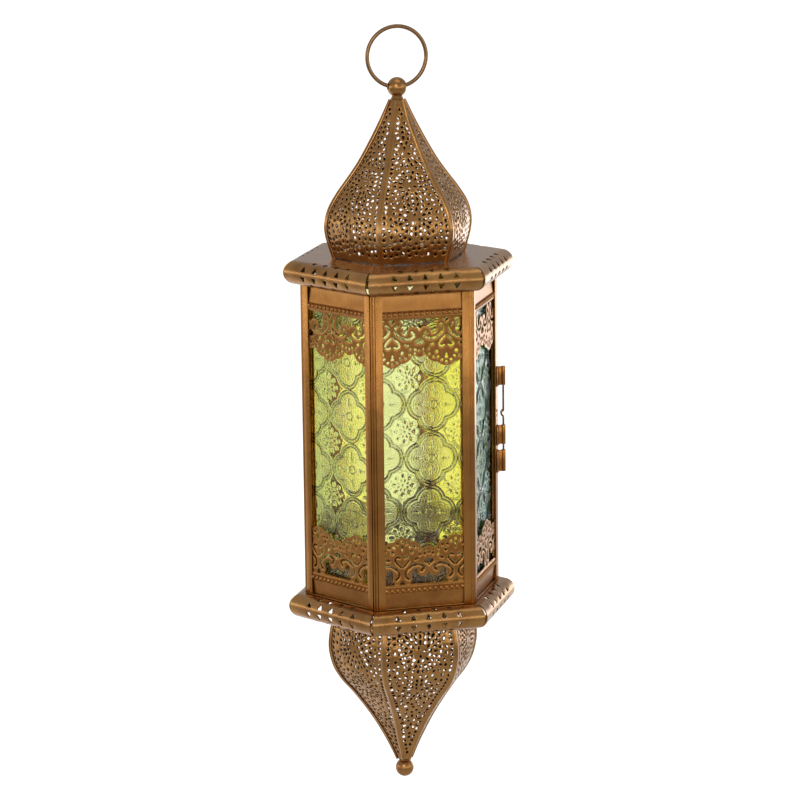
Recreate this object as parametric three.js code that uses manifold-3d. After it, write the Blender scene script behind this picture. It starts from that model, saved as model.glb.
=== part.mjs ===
// Hexagonal pendant lantern of pierced sheet metal and embossed glass, hung from a ring.
// Millimetres, +Z up. The origin is the point inside the top of the ring where a hook bears.
// Heights in the dimensions below are taken from the floor, the upper face of the base tray.
// The front pane faces -Y, and two of the corner posts stand on the X axis.

import * as THREE from 'three';
import { mergeVertices } from 'three/addons/utils/BufferGeometryUtils.js';
import Module from 'manifold-3d';

const wasm = await Module();
wasm.setup();

// Driving dimensions

const SIDES = 6;
const STEP = (2 * Math.PI) / SIDES;
const COS = Math.cos(STEP / 2);
const SIN = Math.sin(STEP / 2);
const TAN = Math.tan(STEP / 2);

const SEAT = 0.3; // gap left between two pieces that rest on each other
const SHEET = 0.8; // pierced and folded sheet
const FLATNESS = 0.01;

const ROOF_TOP = 252; // upper face of the roof tray
const TRAY_SHEET = 0.9;
const ROLL_RADIUS = 8.8; // outside radius of the rolled edges
const ROLL_OVERHANG = 10.9; // from the face of the frames to the outermost line of a roll
const ROLL_ANGLES = [90, 56, 20, 2, -34, -71, -100]; // where the facets of a roll meet
const SLIT_ROOT = 0.8; // the corner slits start this far inside the rolls
const SLIT_HALF_ANGLE = 6.5; // degrees
const MOUTH_LAP = 5.4; // width of the roof tray's plate inside the dome's foot

// Rows of triangles round a roll: 90 degrees is its top, 0 its outermost line.
const TRIANGLE = { width: 4.8, height: 4.5, pitch: 11.6 };
const TRIANGLE_ROWS = [
  { angle: 38, count: 5, points: 'up' },
  { angle: -16, count: 5, points: 'down' },
];

const FACE = 65.3; // from the axis to the outer face of the side frames
const STILE_WIDTH = 5.5;
const STILE_BACK = 2.4; // width of a stile's rear flange
const FRAME_DEPTH = 6.3;
const FRAME_CLEARANCE = 0.6; // from a side frame to the roll above it
const DOOR_CLEARANCE = 1; // above and below the door

const POST_WIDTH = 3.73;
const POST_DEPTH = 7.4;
const POST_PROUD = 0.55; // from the frames' outer edges to the crown of the posts' ridges
const RIDGE = 0.7;

const LACE_DEPTH = 1.1; // front face of the lace, behind the face of the frame
const RAIL_HEIGHT = 11;
const RAIL_DEPTH = 2.3; // front face of the rail at its far edge
const BEAD_BAND = 5.6;
const BEAD_PROUD = 0.8;
const LACE_PITCH = 40.4;
const LACE_LOBES = { large: 35.8, shoulder: 32.6, small: 27.3 }; // reach below the bead band
const LACE_SHIFTS = { upper: [6, -15, 11, -8, -22.4, 15], lower: [-11, 9, -3, 17, -16.8, 4] };

const GLASS_DEPTH = 3.4;
const GLASS_THICKNESS = 1.8;

const PANEL_GAP = 0.15; // half the gap between neighbouring panels
const PANEL_BOW = 0.034; // outward bow of a panel, as a share of its corner radius
const RIB = { width: 3, crown: 1.25, edge: 0.45 };
const ROSETTE = { petals: 8, radii: [7.4, 6.2], length: 5, width: 3 };

// Each profile has distances from its foot and corner radii. Rosettes are placed by their
// share of the way along the panel.
const DOME = {
  profile: [
    [0, 49.4], [8, 52], [16.5, 54.4], [25.5, 55], [36.5, 52], [47.5, 45.4],
    [57.5, 37.8], [69.2, 29.4], [84, 20.7], [100, 12.2], [114.2, 5.4],
  ],
  rosettes: [0.26, 0.475],
};
const CONE = {
  profile: [
    [0, 48], [13, 51.8], [26, 55], [37, 56.6], [46, 56.2], [57, 53.2], [67, 47.4],
    [77.3, 38.8], [90, 29.4], [102.5, 21.2], [117, 13.2], [126.5, 8.6], [133.8, 5.4],
  ],
  rosettes: [0.25, 0.49],
};

const TOP_BALL = { radius: 7.3, collar: 2.45 };
const BOTTOM_BALL = { radius: 6.9, collar: 1.3 };
const BALL_FACETS = 12;
const STEM = { radius: 3.4, length: 10 };
const NECK = { radius: 3.6, collar: 4.6 };

const RING = { radius: 22.1, wire: 1.5, facets: 24 }; // radius to the middle of the wire
const BORE = { radius: 2.6, rise: 0.7 }; // through the ball, above its centre
const RING_DROP = 0.6; // the wire's lowest point lies this far below the middle of the bore

const CUP = { radius: 20.8, height: 12, fillet: 1.8, facets: 20 };

const LATCH_STANDOFF = 4.7; // from the crown of the post to the middle of the bolt
const CLIPS = { keeper: [149, 163.2], guide_upper: [103.8, 118.4], guide_lower: [82.9, 99.3] };
const CLIP = { bore: 1.15, tube: 1.7, wing: 6.5, arm: 1 };
const BOLT = { radius: 0.8, foot: 1.1, gap: 0.5 }; // foot: inside the lower guide; gap: drawn, to the keeper
const THUMB = { lift: 8.4, reach: 6, rise: 1.8 }; // lift: from the upper guide to the bend's middle

const HINGE_STANDOFF = 3.2; // from the crown of the post to the middle of the pins
const HINGE_HEIGHTS = [38, 186];
const KNUCKLE = { radius: 2.1, bore: 1.35, height: 8 };
const PIN = { radius: 1, head: 1.7, headHeight: 0.8 };
const LEAF_LAP = 4.8; // width of a hinge leaf on its frame

// Sizes that follow from them

const ROLL_REACH = FACE + ROLL_OVERHANG;
const FRAME_TOP = ROOF_TOP - 2 * ROLL_RADIUS - FRAME_CLEARANCE;
const DOOR_TOP = ROOF_TOP - 2 * ROLL_RADIUS - DOOR_CLEARANCE;
const CORNER_GAP = POST_WIDTH / 2 + SEAT; // half the space between two frames at a post
const STILE_EDGE = FACE * TAN - CORNER_GAP / COS; // half the width of a side frame
const POST_REACH = FACE * COS + STILE_EDGE * SIN + POST_PROUD; // from the axis to the posts' crowns
const LATCH_LINE = POST_REACH + LATCH_STANDOFF;
const HINGE_LINE = POST_REACH + HINGE_STANDOFF;
const DOME_FOOT = ROOF_TOP + SEAT;
const CONE_FOOT = -TRAY_SHEET - SEAT;
const DOME_TIP = DOME_FOOT + DOME.profile.at(-1)[0];
const CONE_TIP = CONE_FOOT - CONE.profile.at(-1)[0];
const ballRise = ({ radius, collar }) => SEAT + collar + Math.sqrt(radius ** 2 - NECK.radius ** 2);
const BORE_HEIGHT = DOME_TIP + ballRise(TOP_BALL) + BORE.rise;
const WIRE_HEIGHT = BORE_HEIGHT - RING_DROP; // the ring's wire inside the ball
const HANG_HEIGHT = WIRE_HEIGHT + 2 * RING.radius - RING.wire;

// Finishes

const metal = (color) => new THREE.MeshStandardMaterial({ color, roughness: 0.42, metalness: 0.85 });
const tinted = (color) =>
  new THREE.MeshStandardMaterial({ color, roughness: 0.08, transparent: true, opacity: 0.4 });
const GOLD = metal(0x9a6a38);
const LIGHT_GOLD = metal(0xa87a44);
const WIRE = metal(0x8a6034);
const SIDE_NAMES = ['rear_right', 'rear', 'rear_left', 'left', 'front', 'right'];
const CORNER_NAMES = ['right', 'rear_right', 'rear_left', 'left', 'front_left', 'front_right'];
const TINTS = [0xf0e27a, 0xe3f0b0, 0x9fd8d2, 0xf2e88a, 0xf0f2c4, 0xcfe6c0].map(tinted);
const DOOR = 0; // the side that opens

// Geometry and solids

const radians = THREE.MathUtils.degToRad;

function solid(geometry) {
  const plain = geometry.clone();
  plain.deleteAttribute('normal');
  plain.deleteAttribute('uv');
  const merged = mergeVertices(plain, 1e-4);
  const vertProperties = merged.getAttribute('position').array;
  const kept = [];
  for (let i = 0; i < merged.index.count; i += 3) {
    const [a, b, c] = merged.index.array.slice(i, i + 3);
    if (a !== b && b !== c && c !== a) kept.push(a, b, c);
  }
  const triVerts = Uint32Array.from(kept);
  return new wasm.Manifold(new wasm.Mesh({ numProp: 3, vertProperties, triVerts }));
}

// Faces of a solid that lie within the flatness of one plane are merged.
function geometryOf(body) {
  const mesh = body.asOriginal().simplify(FLATNESS).getMesh();
  const geometry = new THREE.BufferGeometry();
  geometry.setAttribute('position', new THREE.BufferAttribute(mesh.vertProperties, 3));
  geometry.setIndex(new THREE.BufferAttribute(mesh.triVerts, 1));
  geometry.computeVertexNormals();
  return geometry;
}

const joined = (...geometries) => geometries.map(solid).reduce((all, next) => all.add(next));

function piece(name, body, material) {
  const mesh = new THREE.Mesh(body.isBufferGeometry ? body : geometryOf(body), material);
  mesh.name = name;
  return mesh;
}

const vectors = (outline) => outline.map(([x, y]) => new THREE.Vector2(x, y));

// An outline in the XY plane raised from one height to another.
function prism(outline, low, high, holes = []) {
  const points = vectors(outline);
  const shape = new THREE.Shape(THREE.ShapeUtils.isClockWise(points) ? points.reverse() : points);
  shape.holes = holes.map((hole) => new THREE.Path(vectors(hole)));
  const geometry = new THREE.ExtrudeGeometry(shape, { depth: high - low, bevelEnabled: false });
  return geometry.translate(0, 0, low);
}

// A profile of [radius, height] points, anticlockwise, turned about Z.
const revolve = (profile, facets, start = 0) =>
  new THREE.LatheGeometry(vectors(profile), facets, start).rotateX(Math.PI / 2);

const regular = (corners, radius) =>
  Array.from({ length: corners }, (_, i) => {
    const angle = (2 * Math.PI * i) / corners;
    return [radius * Math.cos(angle), radius * Math.sin(angle)];
  });

// A shell between two grids of points, outer and inner, each [row][column].
function shell(outer, inner) {
  const [rows, columns] = [outer.length, outer[0].length];
  const at = (side, row, column) => (side * rows + row) * columns + column;
  const triangles = [];
  const quad = (a, b, c, d) => triangles.push(a, b, c, a, c, d);
  // The diagonals alternate, so that they stand in diamonds round every second grid point.
  for (let r = 0; r < rows - 1; r++) {
    for (let c = 0; c < columns - 1; c++) {
      const corners = [[r, c], [r, c + 1], [r + 1, c + 1], [r + 1, c]];
      if ((r + c) % 2) corners.push(corners.shift());
      quad(...corners.map(([row, column]) => at(0, row, column)));
      const [p, q, s, t] = corners.map(([row, column]) => at(1, row, column));
      quad(p, t, s, q);
    }
    const last = columns - 1;
    quad(at(0, r, 0), at(0, r + 1, 0), at(1, r + 1, 0), at(1, r, 0));
    quad(at(1, r, last), at(1, r + 1, last), at(0, r + 1, last), at(0, r, last));
  }
  for (let c = 0; c < columns - 1; c++) {
    const top = rows - 1;
    quad(at(1, 0, c), at(1, 0, c + 1), at(0, 0, c + 1), at(0, 0, c));
    quad(at(0, top, c), at(0, top, c + 1), at(1, top, c + 1), at(1, top, c));
  }
  const geometry = new THREE.BufferGeometry();
  geometry.setAttribute('position', new THREE.Float32BufferAttribute([outer, inner].flat(3), 3));
  return geometry.setIndex(triangles);
}

// An outline pushed through a surface along its normal.
function punch(outline, origin, across, along, depth) {
  const normal = new THREE.Vector3().crossVectors(across, along);
  const place = new THREE.Matrix4().makeBasis(across, along, normal).setPosition(origin);
  return solid(prism(outline, -depth / 2, depth / 2).applyMatrix4(place));
}

// Trays: a profile turned into a hexagon, slit at the corners and pierced along the rolls

function tray(top, mouth) {
  const centre = { x: ROLL_REACH - ROLL_RADIUS, z: top - ROLL_RADIUS };
  const roll = (radius) =>
    ROLL_ANGLES.map(radians).map((angle) => {
      return [(centre.x + radius * Math.cos(angle)) / COS, centre.z + radius * Math.sin(angle)];
    });
  const [inner, outer] = [roll(ROLL_RADIUS - TRAY_SHEET), roll(ROLL_RADIUS).reverse()];
  const profile = [[mouth, top - TRAY_SHEET], ...inner, ...outer, [mouth, top]];
  if (mouth > 0) profile.push(profile[0]);

  const slitStart = centre.x / COS - SLIT_ROOT;
  const slitEnd = slitStart + 2 * ROLL_RADIUS;
  const slitHalf = 2 * ROLL_RADIUS * Math.tan(radians(SLIT_HALF_ANGLE));
  const wedge = [[slitStart, 0], [slitEnd, -slitHalf], [slitEnd, slitHalf]];
  const slit = solid(prism(wedge, top - 3 * ROLL_RADIUS, top + ROLL_RADIUS));
  const cutters = [];
  for (let side = 0; side < SIDES; side++) {
    cutters.push(slit.rotate([0, 0, 60 * side]));
    for (const { angle, count, points } of TRIANGLE_ROWS) {
      const [c, s] = [Math.cos(radians(angle)), Math.sin(radians(angle))];
      const tip = (points === 'up' ? 1 : -1) * (TRIANGLE.height / 2);
      const outline = [[-TRIANGLE.width / 2, -tip], [TRIANGLE.width / 2, -tip], [0, tip]];
      for (let i = 0; i < count; i++) {
        const u = (i - (count - 1) / 2) * TRIANGLE.pitch;
        const origin = new THREE.Vector3(centre.x + ROLL_RADIUS * c, u, centre.z + ROLL_RADIUS * s);
        const hole = punch(outline, origin, new THREE.Vector3(0, 1, 0), new THREE.Vector3(-s, 0, c), 3.4);
        cutters.push(hole.rotate([0, 0, 30 + 60 * side]));
      }
    }
  }
  const turned = solid(revolve(profile, SIDES, Math.PI / 2));
  return turned.subtract(wasm.Manifold.union(cutters));
}

// Pierced onion panels, drawn with the outward direction along +X and the foot at height 0

function onionPanel({ profile, rosettes }) {
  const curve = new THREE.SplineCurve(vectors(profile));
  const length = curve.getLength();
  const station = (u) => {
    const [point, tangent] = [curve.getPointAt(u), curve.getTangentAt(u)];
    return { h: point.x, r: point.y, dh: tangent.x, dr: tangent.y, end: u === 0 || u === 1 };
  };
  const surface = (u, across, inset = 0) => {
    const { h, r, dh, dr, end } = station(u);
    const radius = end ? r - inset / dh : r - inset * dh;
    const bow = PANEL_BOW * radius * (1 - across * across);
    return [radius * COS + bow, across * (radius * SIN - PANEL_GAP / COS), end ? h : h + inset * dr];
  };

  // A point of the rib over the seam with the next panel, measured from the seam.
  const fall = TAN - 4 * PANEL_BOW;
  const overSeam = (u, sideways, lift) => {
    const { h, r, dh, dr, end } = station(u);
    const along = sideways * Math.min(1, r / 14);
    const out = r - Math.abs(along) * fall + lift * dh;
    return [out * COS - along * SIN, out * SIN + along * COS, end ? h : h - lift * dr];
  };
  const half = RIB.width / 2;
  const outer = (u) => [
    surface(u, -1), surface(u, 0), overSeam(u, -half, 0), overSeam(u, 0, RIB.crown),
    overSeam(u, half, RIB.edge + SEAT)];
  const inner = (u) => [
    surface(u, -1, SHEET), surface(u, 0, SHEET), surface(u, 1, SHEET), overSeam(u, -PANEL_GAP, SEAT),
    overSeam(u, half, RIB.edge)];
  const [first, second] = rosettes;
  const rows = [0, first / 2, first, (first + second) / 2, second, second + 0.1, 0.7, 0.85, 1];

  // A petal's wedge points to the middle of its rosette.
  const wedge = [[0, -0.5], [0.5, 0.5], [-0.5, 0.5]].map(([x, y]) => [x * ROSETTE.width, y * ROSETTE.length]);
  const petal = (u, sideways, turn) => {
    const { r, dh, dr } = station(u);
    const across = sideways / (r * SIN);
    const wide = new THREE.Vector3(-4 * PANEL_BOW * across, 1, 0).normalize();
    const rising = new THREE.Vector3(dr * COS, 0, dh);
    rising.addScaledVector(wide, -rising.dot(wide)).normalize();
    const [c, s] = [Math.cos(turn), Math.sin(turn)];
    const turned = wedge.map(([x, y]) => [x * c + y * s, y * c - x * s]);
    return punch(turned, new THREE.Vector3(...surface(u, across)), wide, rising, 7);
  };
  const petals = rosettes.flatMap((at, k) =>
    Array.from({ length: ROSETTE.petals }, (_, i) => {
      const turn = (2 * Math.PI * (i + 0.5)) / ROSETTE.petals;
      const reach = ROSETTE.radii[k];
      return petal(at + (reach * Math.cos(turn)) / length, reach * Math.sin(turn), turn);
    }));
  return solid(shell(rows.map(outer), rows.map(inner))).subtract(wasm.Manifold.union(petals));
}

// Corner posts and side frames, drawn with the outward direction along +X

function cornerPost() {
  const half = CORNER_GAP - SEAT;
  const [back, root] = [POST_REACH - POST_DEPTH, POST_REACH - RIDGE];
  const right = [
    [root, half * 0.12], [POST_REACH, half * 0.32], [POST_REACH, half * 0.6], [root, half * 0.86],
    [root - 0.2, half], [back, half],
  ];
  const left = right.map(([x, y]) => [x, -y]).reverse();
  return prism([...left, ...right], SEAT, ROOF_TOP - TRAY_SHEET - SEAT);
}

// Half the width inside or outside a frame, which narrows with depth as its ends are mitred.
const mitre = (depth, inset = 0) => STILE_EDGE - depth * TAN - inset;
const fitting = (depth) => mitre(depth, (SHEET + SEAT) / COS);

function sideFrame(low, high) {
  const back = FRAME_DEPTH;
  const channel = [
    [0, STILE_EDGE - STILE_WIDTH], [0, mitre(0)], [back, mitre(back)], [back, mitre(back, STILE_BACK)],
    [back - SHEET, mitre(back, STILE_BACK)], [back - SHEET, mitre(back - SHEET, SHEET / COS)],
    [SHEET, mitre(SHEET, SHEET / COS)], [SHEET, STILE_EDGE - STILE_WIDTH],
  ];
  const stile = (s) => prism(channel.map(([depth, u]) => [FACE - depth, s * u]), low, high);
  const plate = (z) => {
    const half = [[SHEET / 2, mitre(SHEET / 2, 0.2)], [back, mitre(back, 0.2)]];
    const outline = [...half, ...half.map(([depth, u]) => [depth, -u]).reverse()];
    return prism(outline.map(([depth, u]) => [FACE - depth, u]), z, z + SHEET);
  };
  return joined(stile(1), stile(-1), plate(low), plate(high - SHEET));
}

function pane(low, high) {
  const [front, back] = [GLASS_DEPTH, GLASS_DEPTH + GLASS_THICKNESS];
  const half = [[front, fitting(front)], [back, fitting(back)]];
  const outline = [...half, ...half.map(([depth, u]) => [depth, -u]).reverse()];
  return prism(outline.map(([depth, u]) => [FACE - depth, u]), low + SHEET + SEAT, high - SHEET - SEAT);
}

// A lace border from its foot at height 0 upwards: tilted rail, bead band and pierced scallops.
function laceBorder(shift) {
  const band = RAIL_HEIGHT + BEAD_BAND;
  const half = fitting(LACE_DEPTH + SHEET);
  const repeat = LACE_PITCH / 2;
  const { large, shoulder, small } = LACE_LOBES;
  const wave = [
    [-1, small], [-0.76, small * 0.96], [-0.54, shoulder * 0.97], [-0.37, shoulder * 0.98],
    [-0.23, large * 0.95], [0, large], [0.23, large * 0.95], [0.37, shoulder * 0.98],
    [0.54, shoulder * 0.97], [0.76, small * 0.96], [1, small],
  ].map(([share, reach]) => [share * repeat, band + reach]);
  const edgeAt = (u) => {
    const local = THREE.MathUtils.euclideanModulo(u - shift + repeat, LACE_PITCH) - repeat;
    const next = Math.max(1, wave.findIndex(([x]) => x >= local));
    const [[x0, z0], [x1, z1]] = [wave[next - 1], wave[next]];
    return z0 + ((z1 - z0) * (local - x0)) / (x1 - x0);
  };
  const repeats = [-2, -1, 0, 1, 2].map((k) => shift + k * LACE_PITCH);
  const waves = repeats.flatMap((centre) => wave.slice(1).map(([u, z]) => [centre + u, z]));
  const scallops = waves.filter(([u]) => Math.abs(u) < half - 0.4);
  const foot = RAIL_HEIGHT - SHEET / 2;
  const outline = [[half, foot], [-half, foot], [-half, edgeAt(-half)], ...scallops, [half, edgeAt(half)]];

  // The openings of one repeat, in hundredths of its half length along and of the large lobe across.
  const motifs = [
    { at: [0, 35], hole: [[0, 0], [25, 19], [0, 23.5], [-25, 19]] },
    { at: [0, 72], hole: [[-6.5, 0], [6.5, 0], [0, 14]] },
    { at: [13, 22], hole: [[0, 0], [25, 16], [66, 21], [13, 19.5]], both: true },
    { at: [40, 60], hole: [[-10, 0], [11, 1], [0, 17]], both: true },
    { at: [100, 4.5], hole: [[-60, 0], [60, 0], [32, 14], [0, 22], [-32, 14]] },
    { at: [100, 49], hole: [[0, 0], [16, 11], [-16, 11]] },
  ];
  const holes = repeats.flatMap((centre) =>
    motifs.flatMap(({ at: [u, z], hole, both }) =>
      (both ? [1, -1] : [1]).map((s) => hole.map(([x, y]) => [
        centre + (s * (u + x) * repeat) / 100, band + ((z + y) * large) / 100]))));
  const whole = holes.filter((hole) => hole.every(([u]) => Math.abs(u) < half - 1.2));
  const front = FACE - LACE_DEPTH;
  const lace = prism(outline, front - SHEET, front, whole).rotateX(Math.PI / 2).rotateZ(Math.PI / 2);

  const lengthwise = (section, reach) => prism(section, -reach, reach).rotateX(Math.PI / 2);
  const far = FACE - RAIL_DEPTH;
  const rail = lengthwise([[far, 0], [front, RAIL_HEIGHT], [front - SHEET, RAIL_HEIGHT], [far - SHEET, 0]],
    fitting(RAIL_DEPTH + SHEET));
  const rise = BEAD_PROUD + SHEET / 2;
  const section = [[0, 0.1], [rise, 0.27], [rise, 0.43], [0, 0.6]];
  const raised = section.map(([lift, share]) => [front - SHEET / 2 + lift, RAIL_HEIGHT + share * BEAD_BAND]);
  const bead = lengthwise(raised, STILE_EDGE - STILE_WIDTH - SEAT);
  return joined(lace, rail, bead);
}

// Turned pieces

// A ball on a collar, with a stem that enters the tip of the panels at height 0.
function finial(ball) {
  const { radius, collar } = ball;
  const centre = ballRise(ball);
  const start = Math.asin(NECK.radius / radius) - Math.PI / 2;
  const steps = BALL_FACETS / 2;
  const section = Array.from({ length: steps + 1 }, (_, i) => {
    const angle = start + ((Math.PI / 2 - start) * i) / steps;
    return [i === steps ? 0 : radius * Math.cos(angle), centre + radius * Math.sin(angle)];
  });
  return revolve([
    [0, -STEM.length], [STEM.radius, -STEM.length], [STEM.radius, SEAT], [NECK.collar, SEAT],
    [(NECK.collar + NECK.radius) / 2, SEAT + collar], ...section,
  ], BALL_FACETS);
}

function topBall() {
  const reach = 3 * TOP_BALL.radius;
  const bore = prism(regular(10, BORE.radius), -reach, reach).rotateY(Math.PI / 2);
  const ball = solid(finial(TOP_BALL).translate(0, 0, DOME_TIP));
  return ball.subtract(solid(bore.translate(0, 0, BORE_HEIGHT)));
}

const bottomBall = () => finial(BOTTOM_BALL).rotateX(Math.PI).translate(0, 0, CONE_TIP);

function hangingRing() {
  const section = regular(6, RING.wire).map(([x, y]) => [RING.radius + x, y]);
  const ring = revolve([...section, section[0]], RING.facets).rotateX(Math.PI / 2);
  return solid(ring.translate(0, 0, WIRE_HEIGHT + RING.radius));
}

function candleCup() {
  const { radius, height, fillet, facets } = CUP;
  const profile = [
    [0, 0], [radius - fillet, 0], [radius, fillet], [radius, height], [radius - SHEET, height],
    [radius - SHEET, SHEET + fillet], [radius - SHEET - fillet, SHEET], [0, SHEET],
  ];
  return solid(revolve(profile, facets).translate(0, 0, SEAT));
}

// Latch: clips that straddle the right-hand corner, drawn with that corner along +X

function latchClip([low, high], lapsDoor) {
  const saddle = POST_REACH + SEAT;
  const lap = CORNER_GAP - SEAT;
  const wing = (s) => {
    const at = (along, lift) => [
      FACE / COS - along * SIN + lift * COS, s * (along * COS + lift * SIN)];
    const [root, top] = [CORNER_GAP / 2, SEAT + SHEET];
    return prism([at(root, SEAT), at(root, top), at(CLIP.wing, top), at(CLIP.wing, SEAT)], low, high);
  };
  const [near, far] = [-lap - SHEET / 2, lapsDoor ? lap + SHEET / 2 : lap];
  const crown = saddle + SHEET;
  const cover = [[saddle, near], [crown, near + 0.2], [crown, far - 0.2], [saddle, far]];
  const arm = [[saddle + 0.2, -CLIP.arm / 2], [LATCH_LINE, -CLIP.arm / 2],
    [LATCH_LINE, CLIP.arm / 2], [saddle + 0.2, CLIP.arm / 2]];
  const tube = prism(regular(10, CLIP.tube), low, high).translate(LATCH_LINE, 0, 0);
  const bore = prism(regular(8, CLIP.bore), low - 1, high + 1).translate(LATCH_LINE, 0, 0);
  const wings = lapsDoor ? [wing(-1), wing(1)] : [wing(-1)];
  return joined(prism(cover, low, high), prism(arm, low, high), tube, ...wings).subtract(solid(bore));
}

function latchBolt() {
  const { lift, reach, rise } = THUMB;
  const [foot, tip] = [CLIPS.guide_lower[0] + BOLT.foot, CLIPS.keeper[0] - BOLT.gap];
  const middle = CLIPS.guide_upper[1] + lift;
  const half = [[reach, 0], [reach - rise, rise], [rise, rise], [rise / 6, 1.4 * rise], [0, 2.2 * rise]];
  const bend = [...half.slice(1).map(([y, z]) => [y, -z]).reverse(), ...half];
  const points = [
    [0, foot], [0, (foot + middle) / 2], [0, middle - 6 * rise],
    ...bend.map(([y, z]) => [y, middle + z]), [0, middle + 5 * rise], [0, tip],
  ];
  const path = new THREE.CatmullRomCurve3(points.map(([y, z]) => new THREE.Vector3(LATCH_LINE, y, z)));
  const section = new THREE.Shape(vectors(regular(6, BOLT.radius)));
  return solid(new THREE.ExtrudeGeometry(section, { steps: 28, extrudePath: path }));
}

// Hinges: a leaf on each side of a post, with knuckles one above the other on a pin

function hingeLeaf(low, s) {
  const high = low + KNUCKLE.height;
  const [x, y] = [HINGE_LINE * COS, s * HINGE_LINE * SIN];
  const [under, over, end] = [FACE + SEAT, FACE + SEAT + SHEET, s * (STILE_EDGE - LEAF_LAP)];
  const leaf = prism([[under, y], [over, y], [over, end], [under, end]], low, high);
  const tube = prism(regular(8, KNUCKLE.radius), low, high).translate(x, y, 0);
  const bore = prism(regular(8, KNUCKLE.bore), low - 1, high + 1).translate(x, y, 0);
  return joined(leaf, tube).subtract(solid(bore));
}

function hingePin(low) {
  const head = low + 2 * KNUCKLE.height + 2 * SEAT;
  const profile = [
    [0, low - 0.6], [PIN.radius, low - 0.6], [PIN.radius, head], [PIN.head, head],
    [PIN.head, head + PIN.headHeight], [0, head + PIN.headHeight],
  ];
  return solid(revolve(profile, 8).translate(HINGE_LINE, 0, 0));
}

// Assembly

const lantern = new THREE.Group();
lantern.position.z = -HANG_HEIGHT;

const roofMouth = DOME.profile[0][1] - MOUTH_LAP;
lantern.add(
  piece('hanging_ring', hangingRing(), WIRE),
  piece('top_ball', topBall(), GOLD),
  piece('roof_tray', tray(ROOF_TOP, roofMouth), GOLD),
  piece('base_tray', tray(0, 0), GOLD),
  piece('bottom_ball', bottomBall(), GOLD),
  piece('candle_cup', candleCup(), LIGHT_GOLD),
);

const domePanel = geometryOf(onionPanel(DOME)).translate(0, 0, DOME_FOOT);
const conePanel = geometryOf(onionPanel(CONE)).rotateX(Math.PI).translate(0, 0, CONE_FOOT);

for (let i = 0; i < SIDES; i++) {
  const side = new THREE.Group();
  side.rotation.z = (i + 0.5) * STEP;
  const isDoor = i === DOOR;
  const name = SIDE_NAMES[i];
  const label = (part) => (isDoor ? `door_${part}` : `${part}_${name}`);
  const [low, high] = isDoor ? [DOOR_CLEARANCE, DOOR_TOP] : [SEAT, FRAME_TOP];
  const upper = laceBorder(-LACE_SHIFTS.upper[i]).rotate([180, 0, 0]).translate([0, 0, high - SHEET - SEAT]);
  const lower = laceBorder(LACE_SHIFTS.lower[i]).translate([0, 0, low + SHEET + SEAT]);
  side.add(
    piece(isDoor ? 'door_frame' : `side_frame_${name}`, sideFrame(low, high), GOLD),
    piece(label('glass'), pane(low, high), TINTS[i]),
    piece(label('lace_upper'), upper, LIGHT_GOLD),
    piece(label('lace_lower'), lower, LIGHT_GOLD),
    piece(`dome_panel_${name}`, domePanel.clone(), GOLD),
    piece(`cone_panel_${name}`, conePanel.clone(), GOLD),
  );
  if (isDoor) {
    HINGE_HEIGHTS.forEach((z, k) => {
      side.add(piece(`hinge_door_leaf_${k + 1}`, hingeLeaf(z + KNUCKLE.height + SEAT, 1), GOLD));
    });
  }
  if (name === 'rear') {
    HINGE_HEIGHTS.forEach((z, k) => side.add(piece(`hinge_frame_leaf_${k + 1}`, hingeLeaf(z, -1), GOLD)));
  }
  lantern.add(side);

  const corner = new THREE.Group();
  corner.rotation.z = i * STEP;
  corner.add(piece(`corner_post_${CORNER_NAMES[i]}`, cornerPost(), GOLD));
  if (CORNER_NAMES[i] === 'rear_right') {
    HINGE_HEIGHTS.forEach((z, k) => corner.add(piece(`hinge_pin_${k + 1}`, hingePin(z), WIRE)));
  }
  if (CORNER_NAMES[i] === 'right') {
    corner.add(
      piece('latch_keeper', latchClip(CLIPS.keeper, false), GOLD),
      piece('latch_guide_upper', latchClip(CLIPS.guide_upper, true), GOLD),
      piece('latch_guide_lower', latchClip(CLIPS.guide_lower, true), GOLD),
      piece('latch_bolt', latchBolt(), WIRE),
    );
  }
  lantern.add(corner);
}

export default lantern;
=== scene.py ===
import math
import random
import bpy
from mathutils import Matrix, Vector
from mathutils.geometry import delaunay_2d_cdt


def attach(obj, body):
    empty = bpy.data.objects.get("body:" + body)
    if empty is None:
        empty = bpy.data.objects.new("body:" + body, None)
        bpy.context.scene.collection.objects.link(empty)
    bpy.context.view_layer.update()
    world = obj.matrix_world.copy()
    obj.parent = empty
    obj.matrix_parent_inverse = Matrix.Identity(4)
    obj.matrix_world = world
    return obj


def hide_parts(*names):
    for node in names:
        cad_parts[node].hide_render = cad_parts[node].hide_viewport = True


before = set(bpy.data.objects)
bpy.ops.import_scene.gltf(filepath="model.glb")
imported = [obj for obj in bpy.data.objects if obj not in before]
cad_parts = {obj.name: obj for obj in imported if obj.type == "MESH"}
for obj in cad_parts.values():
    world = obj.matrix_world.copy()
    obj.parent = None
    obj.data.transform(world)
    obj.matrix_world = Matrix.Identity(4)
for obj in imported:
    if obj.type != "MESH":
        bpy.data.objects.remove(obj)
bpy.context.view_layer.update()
print("frame loaded")

# modelled in millimetres above the base tray's floor, then settled into the frame's metres
mm = 0.001
lantern = {"hang": 418.4, "face": 65.3, "roofTop": 252.0, "sheet": 0.8, "stileEdge": 35.2}
sideNames = ["rear_right", "rear", "rear_left", "left", "front", "right"]
cornerNames = ["right", "rear_right", "rear_left", "left", "front_left", "front_right"]
cos30, sin30, tan30 = math.cos(math.pi / 6), 0.5, math.tan(math.pi / 6)
doorSide = "rear_right"
opening = {"door": (1.0, 233.4), "lantern": (0.3, 233.8), "edge": 1.1}  # foot and head of each opening


def bodyOf(side):
    return "door" if side == doorSide else "lantern"


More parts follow.
